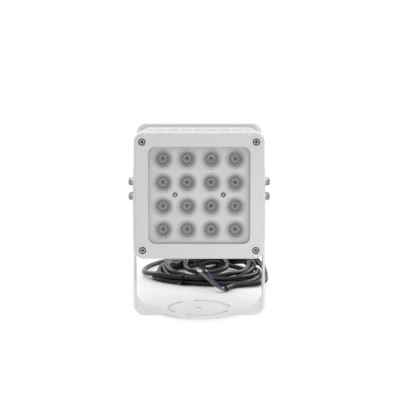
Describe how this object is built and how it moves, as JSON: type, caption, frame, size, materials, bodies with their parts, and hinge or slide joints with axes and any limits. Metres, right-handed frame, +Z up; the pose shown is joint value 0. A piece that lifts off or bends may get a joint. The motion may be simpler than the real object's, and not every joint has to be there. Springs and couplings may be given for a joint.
{
  "type": "infrared illuminator",
  "caption": "Square finned infrared illuminator head with a lens array behind a window, tilting in a folded U bracket with a slotted round base, and a coiled supply cable.",
  "frame": {"origin": "centre of the base's centre hole, on the underside of the bracket's base", "axes": "+Z up from the surface the base stands on, -Y the way the window faces, +X along the tilt axis"},
  "size_m": [0.156, 0.3095, 0.2004],
  "materials": {
    "painted_head": "satin powder coat",
    "painted_bracket": "satin powder coat",
    "screw_steel": "satin",
    "bolt_black": "dark oxide",
    "washer_steel": "satin",
    "brass": "satin",
    "window_glass": "clear",
    "seal_rubber": "matte",
    "pad_plastic": "matte",
    "white_plastic": "matte",
    "lens_clear": "clear",
    "emitter_dark": "gloss",
    "board_white": "satin",
    "board_green": "satin",
    "coil_black": "matte",
    "capacitor_metal": "satin",
    "terminal_green": "matte",
    "lead_red": "satin",
    "gland_black": "matte",
    "cable_jacket": "satin",
    "tie_black": "satin",
    "wire_blue": "satin",
    "wire_green": "satin",
    "wire_yellow": "satin",
    "wire_purple": "satin"
  },
  "bodies": {
    "bracket": {"bracket": "painted_bracket", "cable_lead": "cable_jacket", "cable_coil": "cable_jacket", "cable_tail": "cable_jacket", "cable_tie": "tie_black", "wire_blue": "wire_blue", "wire_green": "wire_green", "wire_yellow": "wire_yellow", "wire_purple": "wire_purple"},
    "head": {"bezel_screws": "screw_steel", "board_screws": "screw_steel", "board_standoffs": "brass", "cable_entry": "cable_jacket", "capacitors": "capacitor_metal", "driver_board": "board_green", "driver_chips": "coil_black", "driver_coil": "coil_black", "friction_pads": "pad_plastic", "front_bezel": "painted_head", "front_gasket": "seal_rubber", "gland_body": "gland_black", "gland_locknut": "gland_black", "gland_nut": "gland_black", "gland_seal": "seal_rubber", "gland_washer": "seal_rubber", "housing": "painted_head", "led_board": "board_white", "led_emitters": "emitter_dark", "led_leads": "lead_red", "lens_1_1": "lens_clear", "lens_1_2": "lens_clear", "lens_1_3": "lens_clear", "lens_1_4": "lens_clear", "lens_2_1": "lens_clear", "lens_2_2": "lens_clear", "lens_2_3": "lens_clear", "lens_2_4": "lens_clear", "lens_3_1": "lens_clear", "lens_3_2": "lens_clear", "lens_3_3": "lens_clear", "lens_3_4": "lens_clear", "lens_4_1": "lens_clear", "lens_4_2": "lens_clear", "lens_4_3": "lens_clear", "lens_4_4": "lens_clear", "lens_holders": "white_plastic", "lens_plate": "white_plastic", "lens_plate_screws": "screw_steel", "lock_bolts": "bolt_black", "pivot_bolts": "bolt_black", "plain_washers": "washer_steel", "plate_spacers": "brass", "rear_cover": "painted_head", "rear_gasket": "seal_rubber", "rear_screws": "screw_steel", "spring_washers": "washer_steel", "supply_leads": "lead_red", "terminal_block": "terminal_green", "window_gasket": "seal_rubber", "window_glass": "window_glass"}
  },
  "joints": [
    {"name": "head_tilt", "type": "hinge", "parent": "bracket", "child": "head", "pos_m": [0, 0, 0.1415], "axis": [1, 0, 0], "range_deg": [-35, 35], "deforming": ["cable_lead"]}
  ]
}
